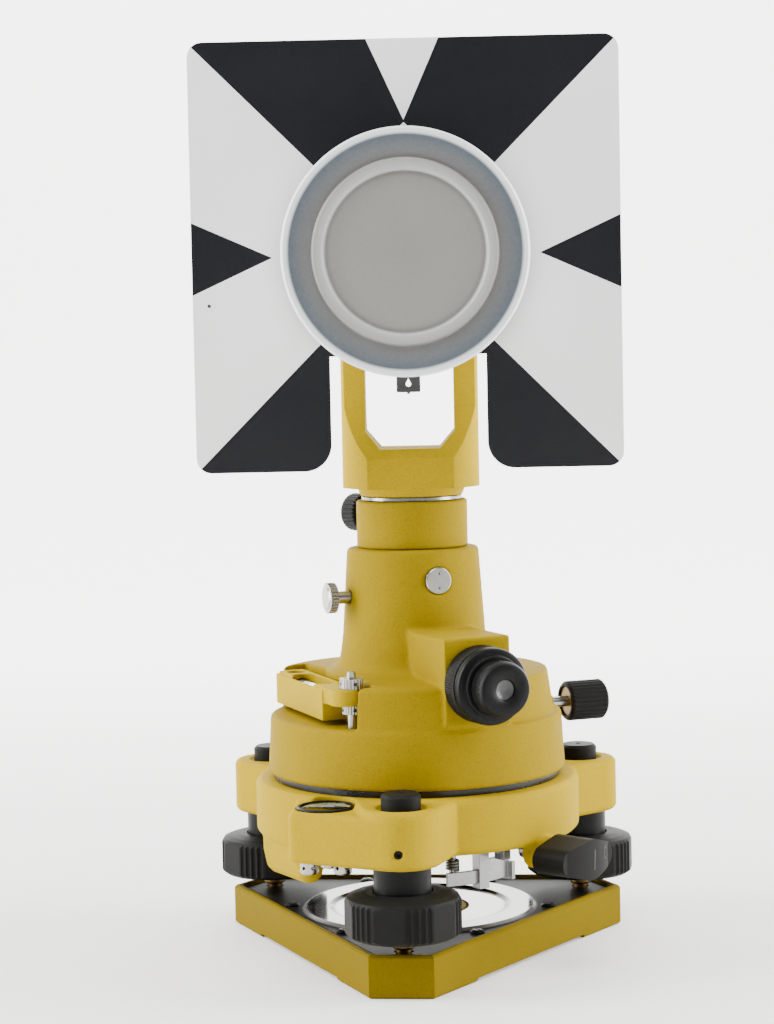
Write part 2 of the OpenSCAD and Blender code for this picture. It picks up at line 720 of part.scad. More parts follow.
module level_bar() {
  x0 = bar_x - bar_w / 2;
  color("goldenrod") on_carrier() difference() {
    union() {
      translate([0, 0, bar_z]) linear_extrude(bar_h - 1) {
        translate([x0, -20]) square([bar_w, bar_back + 18]);
        translate([x0 + 2, bar_back - 3]) square([bar_w - 4, 3]);
        for (k = [2, bar_w - 2]) translate([x0 + k, bar_back - 2]) circle(2, $fn = 32);
      }
      translate([x0 + 1, -19, bar_z]) cube([bar_w - 2, bar_back + 17, bar_h]);
      // Raised nose that overhangs the lower nut
      translate([0, 0, bar_top - 5.4]) linear_extrude(5.4) hull() {
        translate([bar_x, bar_front + bar_w / 2]) circle(bar_w / 2 - 0.6, $fn = 32);
        translate([x0 + 0.6, -19]) square([bar_w - 1.2, 2]);
      }
    }
    // Window and seat of the tube level
    translate([bar_x, 2, bar_top - 5]) rotate([90, 0, 0]) cylinder(r = vial_r + 0.2, h = 32, center = true);
    translate([bar_x - 4.6, -8, bar_top - 4]) cube([8, 20, 10]);
    for (y = [-8, 12]) translate([bar_x - 0.6, y, bar_top - 4]) cylinder(r = 4, h = 10, $fn = 32);
    // Holes for the pivot screw and the stud
    translate([bar_x, bar_back - 8, bar_z - 1]) cylinder(r = stud_r + 0.2, h = 30, $fn = 24);
    translate([bar_x, bar_back - 8, bar_top - 3.5]) cylinder(r = 3.3, h = 10);
    translate([stud_x, stud_y, bar_z - 1]) cylinder(r = stud_r + 0.3, h = 30, $fn = 24);
  }
}

module bar_vial() {
  color("lightyellow") on_carrier() translate([bar_x, 2, bar_top - 5]) rotate([90, 0, 0])
    translate([0, 0, -15.5]) turned([[vial_r - 0.8, 0], [vial_r, 0.8], [vial_r, 30.2], [vial_r - 0.8, 31]]);
}

module bar_screw() {
  color("silver") on_carrier() translate([bar_x, bar_back - 8, 0]) difference() {
    union() {
      translate([0, 0, ledge_z - 5]) cylinder(r = stud_r, h = bar_top - 3.5 - ledge_z + 5.5, $fn = 24);
      translate([0, 0, bar_top - 3.5 + seat]) cylinder(r = 3, h = 2.2);
    }
    translate([-4, -0.4, bar_top - 2]) cube([8, 0.8, 4]);
  }
}

module level_stud() {
  color("silver") on_carrier() translate([stud_x, stud_y, ledge_z - 5]) difference() {
    cylinder(r = stud_r, h = bar_top - ledge_z + 5 + 5.6, $fn = 24);
    translate([-3, -0.3, bar_top - ledge_z + 5 + 4.8]) cube([6, 0.6, 3]);
  }
}

// Capstan nut: a knurled drum with four tommy bar holes
module capstan_nut(r, h) {
  difference() {
    grip(r, h, 20, 0.25);
    translate([0, 0, -1]) cylinder(r = stud_r + fit, h = h + 2, $fn = 48);
    for (k = [0, 90]) rotate([0, 0, k]) translate([0, 0, h / 2]) rotate([90, 0, 0])
      cylinder(r = 0.65, h = 3 * r, center = true, $fn = 16);
  }
}

module nut_upper() {
  color("silver") on_carrier() translate([stud_x, stud_y, bar_top + seat]) capstan_nut(3.9, 3.4);
}

module nut_lower() {
  color("silver") on_carrier() translate([stud_x, stud_y, bar_top - 5.4 - 2.8 - seat]) capstan_nut(3.2, 2.8);
}

// ---------- collar and yoke ----------

module spigot() {
  color("silver") translate([0, 0, tower_top - 12 + seat])
    turned([[spigot_r, 0], [spigot_r, 12 + collar_h - 2.6], [spigot_r - 0.8, 12 + collar_h - 1.8]]);
}

module collar() {
  color("goldenrod") difference() {
    union() {
      translate([0, 0, collar_z]) puck(collar_r, 0, collar_h, 0.5);
      translate([0, 0, collar_top - 1]) cylinder(r = neck2_r, h = opening_z - collar_top - 3);
    }
    translate([0, 0, collar_z - 1]) cylinder(r = spigot_r + fit, h = collar_h - 0.5);
    along(collar_knob_a, collar_knob_z) cylinder(r = 2 + fit, h = 40);
  }
}

module collar_screw() {
  color("silver") along(collar_knob_a, collar_knob_z) translate([0, 0, spigot_r + 0.2])
    cylinder(r = 2, h = collar_r + 6.4 - spigot_r);
}

module collar_knob() {
  color("dimgray") along(collar_knob_a, collar_knob_z) translate([0, 0, collar_r + 3.6]) difference() {
    intersection() {
      grip(6.6, 7, 30, 0.35);
      puck(6.6, 0, 7, 0.8);
    }
    translate([0, 0, -1]) cylinder(r = 2 + seat, h = 4.2 + seat);
  }
}

module lock_ring() {
  color("silver") translate([0, 0, lock_z]) difference() {
    puck(collar_r - 1.8, 0, lock_h, 0.25);
    translate([0, 0, -1]) cylinder(r = neck2_r + 0.3, h = 4);
  }
}

module yoke() {
  flat_d = collar_r - 0.4;
  color("goldenrod") difference() {
    union() {
      intersection() {
        // Front outline: a block with two arms and an opening with cut corners
        rotate([90, 0, 0]) linear_extrude(2 * flat_d, center = true) difference() {
          translate([-arm_out, block_z]) square([2 * arm_out, axis_z + arm_d - block_z]);
          polygon([[5 - arm_in, opening_z], [arm_in - 5, opening_z], [arm_in, opening_z + 6],
            [arm_in, axis_z + 40], [-arm_in, axis_z + 40], [-arm_in, opening_z + 6]]);
        }
        // Side outline: a deep block that narrows to the arms, with round ends at the tilt axis
        rotate([90, 0, 90]) linear_extrude(60, center = true) union() {
          polygon([[-flat_d, block_z], [flat_d, block_z], [flat_d, opening_z - 3], [arm_d, opening_z + 14],
            [arm_d, axis_z], [-arm_d, axis_z], [-arm_d, opening_z + 14], [-flat_d, opening_z - 3]]);
          translate([0, axis_z]) circle(arm_d);
        }
        // The block is turned from a round bar
        translate([0, 0, block_z]) cylinder(r = arm_out + 0.3, h = axis_h + 20);
      }
      translate([0, 0, boss_z]) cylinder(r1 = collar_r - 1.6, r2 = flat_d, h = block_z - boss_z);
    }
    translate([0, 0, boss_z - 1]) cylinder(r = neck2_r + fit, h = opening_z - boss_z - 2.6);
    translate([0, 0, axis_z]) rotate([0, 90, 0]) cylinder(r = trunnion_r + fit, h = 100, center = true);
  }
}

module tilt_screw() {
  difference() {
    union() {
      translate([0, 0, arm_in - 9]) cylinder(r = trunnion_r, h = arm_t + 9 + 1);
      translate([0, 0, arm_out + seat]) intersection() {
        grip(7, 7, 26, 0.35);
        puck(7, 0, 7, 0.7);
      }
    }
    translate([0, 0, arm_out + 6]) cylinder(r = 2, h = 3);
  }
}

module tilt_screw_right() {
  color("dimgray") along(0, axis_z) tilt_screw();
}

module tilt_screw_left() {
  color("dimgray") along(180, axis_z) tilt_screw();
}

// ---------- reflector ----------

module housing() {
  // Depths are measured from the tilt axis toward the front
  color("dimgray") on_reflector() difference() {
    union() {
      turned([[cone_r, 2], [cone_r, -cone_end], [hub_r, -plate_back], [hub_r, -housing_back],
        [housing_r - 0.4, -housing_back], [housing_r, -housing_back + 0.4], [housing_r, -housing_front]]);
      // Knuckle between the arms
      translate([-arm_in + 0.2, -7.6, 0]) cube([2 * arm_in - 0.4, 15.2, 9]);
      rotate([0, 90, 0]) cylinder(r = 7.6, h = 2 * arm_in - 0.4, center = true);
    }
    // Seat of the glass: a straight wall and a cone behind it
    translate([0, 0, -glass_apex + glass_r / sqrt(2) - 1]) cylinder(r = glass_r + fit, h = 60);
    translate([0, 0, -glass_apex - 0.8])
      cylinder(r1 = 0.4, r2 = glass_r + fit + 0.6, h = glass_r / sqrt(2) + 0.2);
    rotate([0, 90, 0]) translate([0, 0, -arm_in - 1]) cylinder(r = trunnion_r + fit, h = 10.2);
    rotate([0, 90, 0]) translate([0, 0, arm_in - 9.2]) cylinder(r = trunnion_r + fit, h = 10.2);
    for (k = [0 : 3]) rotate([0, 0, 45 + 90 * k]) translate([target_screw_r, 0, -plate_front - 1])
      cylinder(r = 1.25, h = 8, $fn = 24);
  }
}

module corner_cube() {
  color("lightcyan") on_reflector() translate([0, 0, -glass_apex]) intersection() {
    cylinder(r = glass_r, h = -glass_front + glass_apex - seat);
    rotate([45, -atan(1 / sqrt(2)), 0]) cube(glass_r * 3);
  }
}

module bezel() {
  color("black") on_reflector() translate([0, 0, -housing_front + seat]) difference() {
    puck(housing_r - 2, 0, bezel_h, 0.4);
    translate([0, 0, -1]) cylinder(r = glass_r - 1.5, h = 5);
  }
}

module target_outline() {
  w = target_w / 2;
  s = slot_w / 2;
  c = 5;
  difference() {
    union() {
      translate([c - w, -w]) square([target_w - 2 * c, target_w]);
      translate([-w, c - w]) square([target_w, target_w - 2 * c]);
      for (x = [c - w, w - c], y = [c - w, w - c]) translate([x, y]) circle(c);
    }
    // Slot for the yoke, with rounded lower corners
    translate([-s, -w - 1]) square([slot_w, slot_top - axis_z + w + 1]);
    for (k = [-1, 1]) difference() {
      translate([k * s - (k < 0 ? 9 : 0), -w - 1]) square([9, 10]);
      translate([k * (s + 9), 9 - w]) circle(9);
    }
    circle(hub_r + 0.2);
  }
}

module target_plate() {
  color("white") translate([0, plate_back, axis_z]) rotate([90, 0, 0]) difference() {
    linear_extrude(target_t) target_outline();
    for (k = [0 : 3]) rotate([0, 0, 45 + 90 * k]) translate([target_screw_r, 0, -1])
      cylinder(r = 1.4, h = 6, $fn = 24);
  }
}

module target_screws() {
  color("silver") on_reflector() for (k = [0 : 3]) rotate([0, 0, 45 + 90 * k])
    translate([target_screw_r, 0, -plate_back]) difference() {
      union() {
        translate([0, 0, -1.3 - seat]) cylinder(r = 2.4, h = 1.3);
        translate([0, 0, -1]) cylinder(r = 1.2, h = 8, $fn = 24);
      }
      translate([-3, -0.3, -2]) cube([6, 0.6, 1.2]);
    }
}

module sight() {
  sight_w = 7.8;
  sight_d = 5;
  z0 = -housing_r - 7.8;
  color("black") translate([0, plate_front - 1.9, axis_z]) rotate([90, 0, 0]) difference() {
    union() {
      translate([-sight_w / 2, z0 + 0.6, 0]) cube([sight_w, 7.2 - seat, sight_d]);
      translate([-0.5, z0, 2]) cube([1, 2, 1]);
    }
    // Keyhole to look through
    translate([0, z0 + 3.3, -1]) cylinder(r = 0.9, h = sight_d + 2, $fn = 24);
    translate([0, z0 + 3.3, -1]) linear_extrude(sight_d + 2) polygon([[-0.85, 0.2], [0.85, 0.2], [0, 2]]);
  }
}

module dust_cap() {
  color("aliceblue") on_reflector() difference() {
    // Flat face with a raised ring around its middle
    turned([[cap_out_r, -cap_back], [cap_out_r, -cap_front - 1], [cap_out_r - 0.8, -cap_front - 0.2],
      [30.2, -cap_front - 0.6], [30, -cap_front + 0.9], [29.4, -cap_front + 1.3],
      [27, -cap_front + 1.3], [26.4, -cap_front + 0.6], [26.2, -cap_front - 0.4]]);
    // Hollow that fits over the housing and clears the bezel
    translate([0, 0, -cap_back - 1]) cylinder(r = cap_in_r, h = cap_back - housing_front + 1.6);
    translate([0, 0, -cap_back - 1]) cylinder(r = housing_r - 1, h = cap_back - cap_front - 1);
    // Finger notches on both sides of the skirt
    for (k = [0, 180]) rotate([0, 0, k]) translate([housing_r - 3, -4.5, -cap_back - 1]) cube([10, 9, 3.4]);
  }
}

base_plate();
spring_plate();
spring_screws();
at_screw(front_a) foot_knob(-9.5);  // foot_knob_front
at_screw(right_a) foot_knob(25);  // foot_knob_right
at_screw(left_a) foot_knob(12);  // foot_knob_left
at_screw(front_a) foot_spindle();  // foot_spindle_front
at_screw(right_a) foot_spindle();  // foot_spindle_right
at_screw(left_a) foot_spindle();  // foot_spindle_left
at_screw(front_a) foot_bushing();  // foot_bushing_front
at_screw(right_a) foot_bushing();  // foot_bushing_right
at_screw(left_a) foot_bushing();  // foot_bushing_left
at_screw(front_a) screw_cap();  // screw_cap_front
at_screw(right_a) screw_cap();  // screw_cap_right
at_screw(left_a) screw_cap();  // screw_cap_left
levelling_body();
level_cup();
level_glass();
level_nuts();
grub_screw();
clamp_ring();
clamp_spring();
clamp_shaft();
clamp_lever();
flange();
flange_pins();
carrier();
plummet_prism();
plummet_lens();
focus_ring();
eyepiece();
eyepiece_lens();
cover_disc();
thumb_screw();
brake_stem();
brake_washer();
brake_knob();
level_bar();
bar_vial();
bar_screw();
level_stud();
nut_upper();
nut_lower();
spigot();
collar();
collar_screw();
collar_knob();
lock_ring();
yoke();
tilt_screw_left();
tilt_screw_right();
housing();
corner_cube();
bezel();
target_plate();
target_screws();
sight();
dust_cap();
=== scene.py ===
import math

import bmesh
import bpy
from mathutils import Matrix, Vector


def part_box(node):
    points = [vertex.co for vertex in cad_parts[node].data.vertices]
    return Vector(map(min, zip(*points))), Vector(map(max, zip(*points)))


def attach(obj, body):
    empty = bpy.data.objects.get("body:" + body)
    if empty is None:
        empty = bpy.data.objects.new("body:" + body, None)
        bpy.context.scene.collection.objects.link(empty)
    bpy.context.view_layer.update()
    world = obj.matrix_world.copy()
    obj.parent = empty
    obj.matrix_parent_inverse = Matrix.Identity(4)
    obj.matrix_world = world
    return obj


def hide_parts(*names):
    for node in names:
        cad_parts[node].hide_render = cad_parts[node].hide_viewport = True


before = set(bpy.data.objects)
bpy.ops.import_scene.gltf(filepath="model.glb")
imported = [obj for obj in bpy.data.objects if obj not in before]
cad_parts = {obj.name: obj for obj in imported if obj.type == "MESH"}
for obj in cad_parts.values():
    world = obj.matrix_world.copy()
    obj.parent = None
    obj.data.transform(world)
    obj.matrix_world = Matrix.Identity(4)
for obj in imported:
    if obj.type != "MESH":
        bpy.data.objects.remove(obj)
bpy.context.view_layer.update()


# ---- Camera and studio ----
# A long lens stands a little above the prism's middle and looks slightly down at it.
# The set stands on white cloth that sweeps up behind it, between two tall soft boxes.

mm = 0.001
camera_place = Vector((8.25, -810.4, 201.3)) * mm
camera_yaw = -0.0207
camera_dip = 0.0635
camera_roll = -0.0206
sensor_width = 36
focal_length = 83.24

forward = Vector((
    math.sin(camera_yaw) * math.cos(camera_dip),
    math.cos(camera_yaw) * math.cos(camera_dip),
    -math.sin(camera_dip),
))
level_right = Vector((math.cos(camera_yaw), -math.sin(camera_yaw), 0))
level_up = level_right.cross(forward)
right = math.cos(camera_roll) * level_right + math.sin(camera_roll) * level_up
up = math.cos(camera_roll) * level_up - math.sin(camera_roll) * level_right
camera_data = bpy.data.cameras.new("camera")
camera_data.sensor_width = sensor_width
camera_data.lens = focal_length
camera = bpy.data.objects.new("camera", camera_data)
camera_axes = Matrix((right, up, -forward)).transposed().to_4x4()
camera.matrix_world = Matrix.Translation(camera_place) @ camera_axes
bpy.context.scene.collection.objects.link(camera)
bpy.context.scene.camera = camera


def soft_box(name, place, target, size, watts):
    data = bpy.data.lights.new(name, "AREA")
    data.shape = "RECTANGLE"
    data.size, data.size_y = size
    data.energy = watts
    obj = bpy.data.objects.new(name, data)
    obj.location = place
    obj.rotation_euler = (Vector(target) - Vector(place)).to_track_quat("-Z", "Y").to_euler()
    bpy.context.scene.collection.objects.link(obj)


soft_box("soft_box_left", (-0.95, -0.12, 0.5), (0, 0, 0.15), (0.5, 1.0), 27)
soft_box("soft_box_right", (0.95, -0.05, 0.46), (0, 0, 0.15), (0.5, 0.9), 24)
soft_box("soft_box_top", (0, -0.45, 1.2), (0, 0, 0.1), (0.8, 0.8), 13)

room_light = 0.22
world = bpy.data.worlds.new("white_room")
world.use_nodes = True
background = world.node_tree.nodes["Background"]
background.inputs["Color"].default_value = (1, 1, 1, 1)
background.inputs["Strength"].default_value = room_light
bpy.context.scene.world = world


def link_mesh(name, data):
    obj = bpy.data.objects.new(name, data)
    bpy.context.scene.collection.objects.link(obj)
    return obj


def mesh_of(name, vertices, faces):
    """A mesh with its faces turned outward, smooth but for edges over 35 degrees."""
    data = bpy.data.meshes.new(name)
    data.from_pydata([tuple(v) for v in vertices], [], faces)
    bm = bmesh.new()
    bm.from_mesh(data)
    bmesh.ops.remove_doubles(bm, verts=bm.verts, dist=1e-7)
    bmesh.ops.recalc_face_normals(bm, faces=bm.faces)
    bm.to_mesh(data)
    bm.free()
    data.shade_smooth()
    data.set_sharp_from_angle(angle=math.radians(35))
    return link_mesh(name, data)


cloth_half = 2.2
cloth_front = -1.4
bend_start = 0.7
bend_radius = 0.6
bend_steps = 24
wall_top = 2.6
bend = [
    (bend_start + bend_radius * math.sin(a), bend_radius * (1 - math.cos(a)))
    for a in (math.pi / 2 * i / bend_steps for i in range(bend_steps + 1))
]
profile = [(cloth_front, 0), *bend, (bend_start + bend_radius, wall_top)]
cloth = mesh_of(
    "backdrop",
    [(x, y, z) for y, z in profile for x in (-cloth_half, cloth_half)],
    [(2 * i, 2 * i + 1, 2 * i + 3, 2 * i + 2) for i in range(len(profile) - 1)],
)


class Socket:
    """A shader socket that reads like a value in an expression."""

    def __init__(self, tree, socket=None):
        self.tree = tree
        self.socket = socket

    def node(self, kind, settings=(), inputs=(), out=0):
        made = self.tree.nodes.new("ShaderNode" + kind)
        for key, value in dict(settings).items():
            if key == "stops":
                for place, _ in value[2:]:
                    made.color_ramp.elements.new(place)
                for element, (place, shade) in zip(made.color_ramp.elements, value):
                    element.position = place
                    grey = not isinstance(shade, tuple)
                    element.color = (shade, shade, shade, 1) if grey else (*shade, 1)
            else:
                setattr(made, key, value)
        for key, value in dict(inputs).items():
            if isinstance(value, Socket):
                self.tree.links.new(value.socket, made.inputs[key])
            else:
                made.inputs[key].default_value = value
        return Socket(self.tree, made.outputs[out])

    def math(self, operation, *values):
        return self.node("Math", {"operation": operation}, dict(enumerate(values)))

    def mix(self, factor, first, second):
        first = (*first, 1) if isinstance(first, tuple) else first
        second = (*second, 1) if isinstance(second, tuple) else second
        return self.node("Mix", {"data_type": "RGBA"}, {0: factor, 6: first, 7: second}, 2)

    def noise(self, place, scale, detail=2, roughness=0.5):
        inputs = {"Vector": place, "Scale": scale, "Detail": detail, "Roughness": roughness}
        return self.node("TexNoise", {}, inputs)

    def place(self):
        return self.node("TexCoord", out="Object")

    def axis(self, name):
        return self.node("SeparateXYZ", {}, {0: self.place()}, "XYZ".index(name))

    def bump(self, height, depth, strength=1.0, round_edges=0.0):
        inputs = {"Strength": strength, "Distance": depth, "Height": height}
        if round_edges:
            inputs["Normal"] = self.node("Bevel", {"samples": 6}, {"Radius": round_edges})
        return self.node("Bump", {}, inputs)

    def __add__(self, other):
        return self.math("ADD", self, other)

    __radd__ = __add__

    def __sub__(self, other):
        return self.math("SUBTRACT", self, other)

    def __rsub__(self, other):
        return self.math("SUBTRACT", other, self)

    def __mul__(self, other):
        return self.math("MULTIPLY", self, other)

    __rmul__ = __mul__

    def __truediv__(self, other):
        return self.math("DIVIDE", self, other)

    def __gt__(self, other):
        return self.math("GREATER_THAN", self, other)

    def __lt__(self, other):
        return self.math("LESS_THAN", self, other)

    def __abs__(self):
        return self.math("ABSOLUTE", self)


def finish(name, fixed=(), varying=None):
    """A material: fixed shader values, and varying(s) for sockets that change over it."""
    made = bpy.data.materials.new(name)
    made.use_nodes = True
    shader = made.node_tree.nodes["Principled BSDF"]
    for key, value in dict(fixed).items():
        shader.inputs[key].default_value = (*value, 1) if isinstance(value, tuple) else value
    if varying:
        for key, value in varying(Socket(made.node_tree)).items():
            made.node_tree.links.new(value.socket, shader.inputs[key])
    return made


def wear(obj, made):
    obj.data.materials.clear()
    obj.data.materials.append(made)


def wear_node(made, *names):
    for name in names:
        wear(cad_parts[name], made)


def cloth_and_glow_look(s):
    thread = {"Vector": s.place(), "Scale": 520, "Distortion": 1.5, "Detail": 2}
    warp = s.node("TexWave", {"bands_direction": "X"}, thread)
    weft = s.node("TexWave", {"bands_direction": "Y"}, thread)
    weave = warp * weft
    # Painted light: the cloth glows. Its emission is dim near the set, where a soft shadow stays,
    # and rises to full further back.
    glow = s.node("ValToRGB", {"stops": [(0.04, 0.10), (0.3, 0.35), (0.8, 1.0)]}, {0: s.axis("Y")})
    return {
        "Base Color": s.mix(weave, (0.80, 0.80, 0.785), (0.93, 0.93, 0.92)),
        "Emission Color": s.mix(glow, (0.0, 0.0, 0.0), (1.0, 1.0, 0.99)),
        "Normal": s.bump(weave, 0.0004, 0.3),
    }


wear(cloth, finish("glowing_white_cloth", {
    "Roughness": 0.95,
    "Specular IOR Level": 0.1,
    "Emission Strength": 3.4,
}, cloth_and_glow_look))


# ---- Base plate ----
# A trimmed triangle of cast aluminium with a threaded boss for the tripod screw.
# It is machined, then sprayed in the same gold-yellow paint as the other castings.

base_turn = math.radians(-4.25)
painted_edge = 0.5 * mm
paint_gloss = {"Specular IOR Level": 0.03}


def paint_look(depth):
    """Speckled paint with orange peel; depth darkens it for the pieces in shade."""
    def tone(*shade):
        return tuple(depth * value for value in shade)

    def look(s):
        place = s.place()
        peel = s.noise(place, 1500, 3, 0.6)
        speck = s.noise(place, 3200, 2, 0.7)
        cloud = s.noise(place, 55, 3, 0.5)
        dust = s.node("ValToRGB", {"stops": [(0.36, 0.0), (0.5, 1.0)]}, {0: speck})
        body = s.mix(cloud, tone(0.44, 0.297, 0.0), tone(0.50, 0.342, 0.001))
        return {
            "Base Color": s.mix(dust, tone(0.34, 0.222, 0.0), body),
            "Roughness": 0.5 + 0.2 * peel,
            "Normal": s.bump(peel + 0.5 * speck, 0.00006, 0.5, painted_edge),
        }
    return look


gold_paint = finish("gold_paint", paint_gloss, paint_look(0.86))
# The base plate wears a copy of the gold paint darkened to 0.36: painted shade.
shade_darkened_paint = finish("shade_darkened_gold_paint", paint_gloss, paint_look(0.36))
wear_node(shade_darkened_paint, "base_plate")


def spiral_thread(name, radius, pitch, turns, depth, z0, body, made):
    """The ridge of an internal screw thread, swept up its helix."""
    steps = 48
    crest = radius - depth
    ridge = ((radius, 0.42), (crest, 0.08), (crest, -0.08), (radius, -0.42))
    rings = []
    for i in range(int(turns * steps) + 1):
        a = 2 * math.pi * i / steps
        z = z0 + pitch * i / steps
        for r, dz in ridge:
            rings.append((r * math.cos(a), r * math.sin(a), z + dz * pitch))
    last = len(rings) // 4 - 1
    faces = [
        (4 * i + k, 4 * i + (k + 1) % 4, 4 * i + 4 + (k + 1) % 4, 4 * i + 4 + k)
        for i in range(last) for k in range(4)
    ]
    faces += [(3, 2, 1, 0), tuple(4 * last + k for k in range(4))]
    obj = mesh_of(name, rings, faces)
    wear(obj, made)
    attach(obj, body)


def metal_look(low, high, scale, rough):
    def look(s):
        place = s.place()
        grain = s.noise(place, scale, 3, 0.6)
        film = s.noise(place, 90, 3, 0.6)
        return {
            "Base Color": s.mix(grain * film, low, high),
            "Roughness": rough + 0.16 * film,
            "Normal": s.bump(grain, 0.00002, 0.4, 0.0002),
        }
    return look


bare_metal = {"Metallic": 1.0}
bare_alloy = finish(
    "machined_alloy", bare_metal, metal_look((0.5, 0.5, 0.48), (0.72, 0.72, 0.7), 700, 0.3),
)
base_lo, base_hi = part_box("base_plate")
thread_radius = 6.75 * mm
thread_pitch = 25.4 / 11 * mm
thread_turns = 4.6
thread_depth = 0.9 * mm
thread_start = base_lo[2] + 0.7 * thread_pitch
spiral_thread(
    "tripod_thread", thread_radius, thread_pitch, thread_turns, thread_depth, thread_start,
    "base", bare_alloy,
)


# ---- Spring plate ----
# A thin polished stainless sheet, stamped with two raised rings, that holds the screws' balls
# down. Outside the rings the code makes it near-black and non-metallic. Six small black screws fix
# it to the base plate.

stamped_radius = 41 * mm


def sheet_look(s):
    place = s.place()
    flat = s.node("VectorMath", {"operation": "MULTIPLY"}, {0: place, 1: (1.0, 1.0, 0.0)})
    radius = s.node("VectorMath", {"operation": "LENGTH"}, {0: flat}, "Value")
    film = s.noise(place, 60, 3, 0.6)
    reach = radius / (2 * stamped_radius)
    outside = s.node("ValToRGB", {"stops": [(0.47, 0.0), (0.5, 1.0)]}, {0: reach})
    # Painted reflection: a near-black band painted on the inner stamped ring of the polished sheet.
    dark_reflection_stops = [(0.35, 0.0), (0.362, 1.0), (0.378, 1.0), (0.392, 0.3)]
    dark_reflection_band = s.node("ValToRGB", {"stops": dark_reflection_stops}, {0: reach})
    dish = s.mix(dark_reflection_band, (0.36, 0.36, 0.35), (0.03, 0.03, 0.029))
    return {
        "Base Color": s.mix(outside, dish, (0.010, 0.010, 0.009)),
        "Metallic": 1.0 - outside,
        "Roughness": 0.06 + 0.12 * film + 0.3 * outside,
        "Normal": s.bump(film, 0.00002, 0.3, 0.0002),
    }


wear_node(finish("polished_sheet", {"Specular IOR Level": 0.05}, sheet_look), "spring_plate")
nickel = finish(
    "nickel_plate", bare_metal, metal_look((0.34, 0.33, 0.30), (0.56, 0.55, 0.51), 1200, 0.2),
)


# ---- Foot screws ----
# Each is a turned brass spindle with a ball foot, in a fluted black moulded knob.
# A black anodised bushing carries it in the levelling body, under a small moulded cap.

def plastic_look(low, high, rough):
    def look(s):
        place = s.place()
        grain = s.noise(place, 2600, 3, 0.6)
        rub = s.noise(place, 130, 3, 0.6)
        return {
            "Base Color": s.mix(rub, low, high),
            "Roughness": rough + 0.14 * rub,
            "Normal": s.bump(grain, 0.00004, 0.6, 0.0004),
        }
    return look


moulded_black = finish(
    "moulded_black", {"Specular IOR Level": 0.08},
    plastic_look((0.006, 0.006, 0.005), (0.011, 0.011, 0.010), 0.42),
)
anodised_black = finish(
    "anodised_black", {"Specular IOR Level": 0.12},
    plastic_look((0.003, 0.003, 0.003), (0.007, 0.007, 0.007), 0.3),
)
turned_brass = finish(
    "turned_brass", bare_metal, metal_look((0.20, 0.12, 0.04), (0.40, 0.27, 0.11), 1200, 0.28),
)
wear_node(anodised_black, "spring_screws")
for side in ("front", "right", "left"):
    wear_node(moulded_black, "foot_knob_" + side, "screw_cap_" + side)
    wear_node(turned_brass, "foot_spindle_" + side)
    wear_node(anodised_black, "foot_bushing_" + side)


# ---- Levelling body ----
# The three-lobed upper casting. Its corners are rounded as they leave the mould,
# its recesses are blended into the lobes, and it is painted like the base plate.

kept_faces = 0.3


def cast_skin(node, body, voxel, passes, paint):
    """The node's shape again, with the soft corners and blends that a mould leaves."""
    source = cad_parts[node]
    obj = link_mesh(node + "_casting", source.data.copy())
    bm = bmesh.new()
    bm.from_mesh(obj.data)
    bmesh.ops.remove_doubles(bm, verts=bm.verts, dist=1e-6)
    bm.to_mesh(obj.data)
    bm.free()
    remesh = obj.modifiers.new("remesh", "REMESH")
    remesh.mode = "VOXEL"
    remesh.voxel_size = voxel
    smooth = obj.modifiers.new("smooth", "SMOOTH")
    smooth.factor = 0.5
    smooth.iterations = passes
    thin = obj.modifiers.new("thin", "DECIMATE")
    thin.ratio = kept_faces
    evaluated = obj.evaluated_get(bpy.context.evaluated_depsgraph_get())
    data = bpy.data.meshes.new_from_object(evaluated)
    obj.modifiers.clear()
    obj.data = data
    data.shade_smooth()
    wear(obj, paint)
    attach(obj, body)
    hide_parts(node)


cast_skin("levelling_body", "leveller", 0.55 * mm, 6, gold_paint)
wear_node(anodised_black, "level_cup", "grub_screw")
wear_node(nickel, "level_nuts")


def turned_piece(name, outline, axis, steps=96, ribs=0, depth=0.0, closed=True):
    """A piece turned about the axis matrix, from (radius, height) points, with 1 added for ribs."""
    points = []
    for a in range(steps):
        angle = 2 * math.pi * a / steps
        wave = 0.5 - 0.5 * math.cos(ribs * angle)
        for r, z, *ribbed in outline:
            rr = r - depth * wave * (ribbed[0] if ribbed else 0)
            points.append(axis @ Vector((rr * math.cos(angle), rr * math.sin(angle), z)))
    n = len(outline)
    faces = []
    for a in range(steps):
        b = (a + 1) % steps
        for k in range(n if closed else n - 1):
            j = (k + 1) % n
            faces.append((a * n + k, b * n + k, b * n + j, a * n + j))
    return mesh_of(name, points, faces)


def centre_of(node):
    lo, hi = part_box(node)
    return (Vector(lo) + Vector(hi)) / 2


def upright(centre, z):
    return Matrix.Translation((centre[0], centre[1], z))


glass_lo, glass_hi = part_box("level_glass")
level_axis = centre_of("level_glass")
level_radius = (glass_hi[0] - glass_lo[0]) / 2
level_top = glass_hi[2]


def spirit_look(s):
    place = s.place()
    tint = s.noise(place, 300, 2)
    return {"Base Color": s.mix(tint, (0.52, 0.56, 0.33), (0.62, 0.66, 0.42))}


spirit = finish("level_spirit", {"Roughness": 0.08, "Specular IOR Level": 0.6}, spirit_look)
clear_glass = finish("clear_glass", {
    "Base Color": (0.97, 0.99, 0.98),
    "Roughness": 0.02,
    "Transmission Weight": 1.0,
    "IOR": 1.5,
})
level_black = finish(
    "level_marks", {}, plastic_look((0.006, 0.006, 0.006), (0.012, 0.012, 0.012), 0.4),
)
level_white = finish("level_card", {}, plastic_look((0.6, 0.6, 0.56), (0.7, 0.7, 0.66), 0.5))


def ring_of(r_in, r_out, z0, z1, bevel):
    """A square ring's section, with its two top corners trimmed."""
    return [
        (r_in, z0), (r_out, z0), (r_out, z1 - bevel),
        (r_out - bevel, z1), (r_in + bevel, z1), (r_in, z1 - bevel),
    ]


